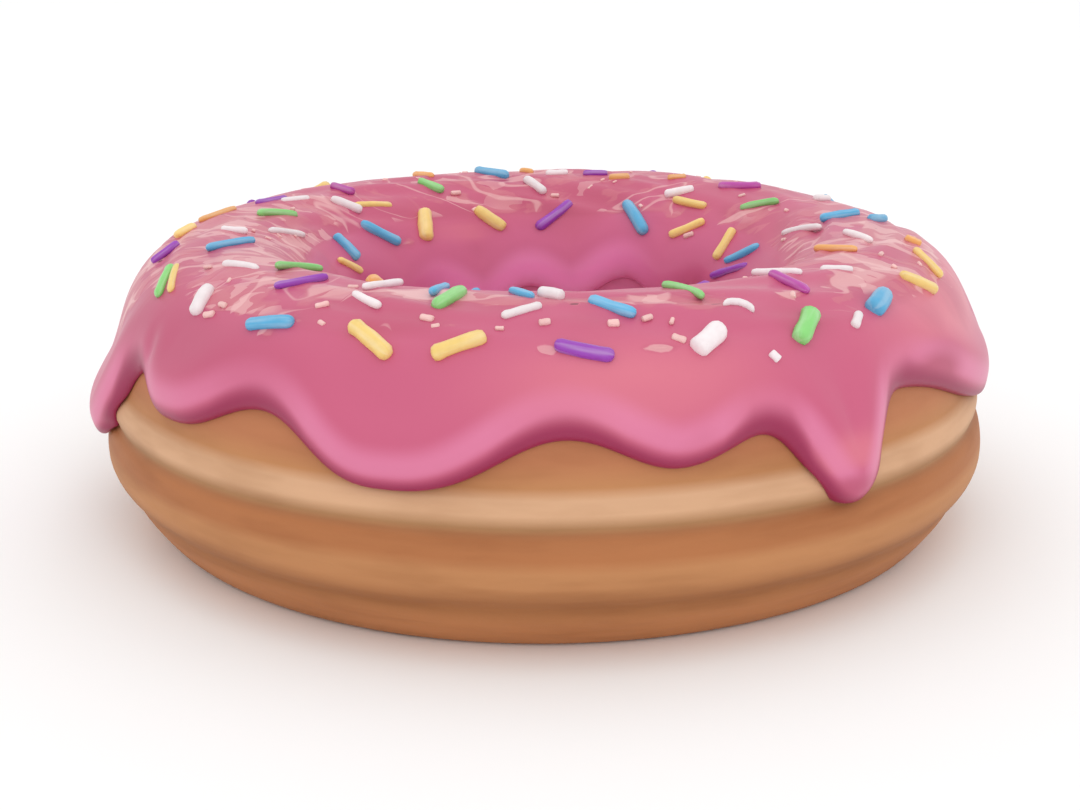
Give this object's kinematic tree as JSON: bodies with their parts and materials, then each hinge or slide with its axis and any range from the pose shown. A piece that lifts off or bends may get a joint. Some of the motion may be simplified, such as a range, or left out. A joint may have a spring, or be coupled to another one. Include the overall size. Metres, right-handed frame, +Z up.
{
  "type": "sprinkle frosted ring doughnut",
  "caption": "Fried ring doughnut with a pale ring round its side, thick pink icing that runs down in drips, and coloured sugar sprinkles.",
  "frame": {"origin": "in the middle of the whole doughnut, 0.4 mm beside the hole's axis, in the plane that the doughnut rests on", "axes": "+Z up through the hole, -Y towards the front"},
  "size_m": [0.0965, 0.095, 0.031],
  "materials": {
    "fried_dough": "matt fried crust, brown above and below a pale ring",
    "pink_icing": "glossy set sugar icing with coloured sugar sprinkles"
  },
  "bodies": {
    "root": {"dough": "fried_dough", "icing": "pink_icing"}
  },
  "joints": []
}
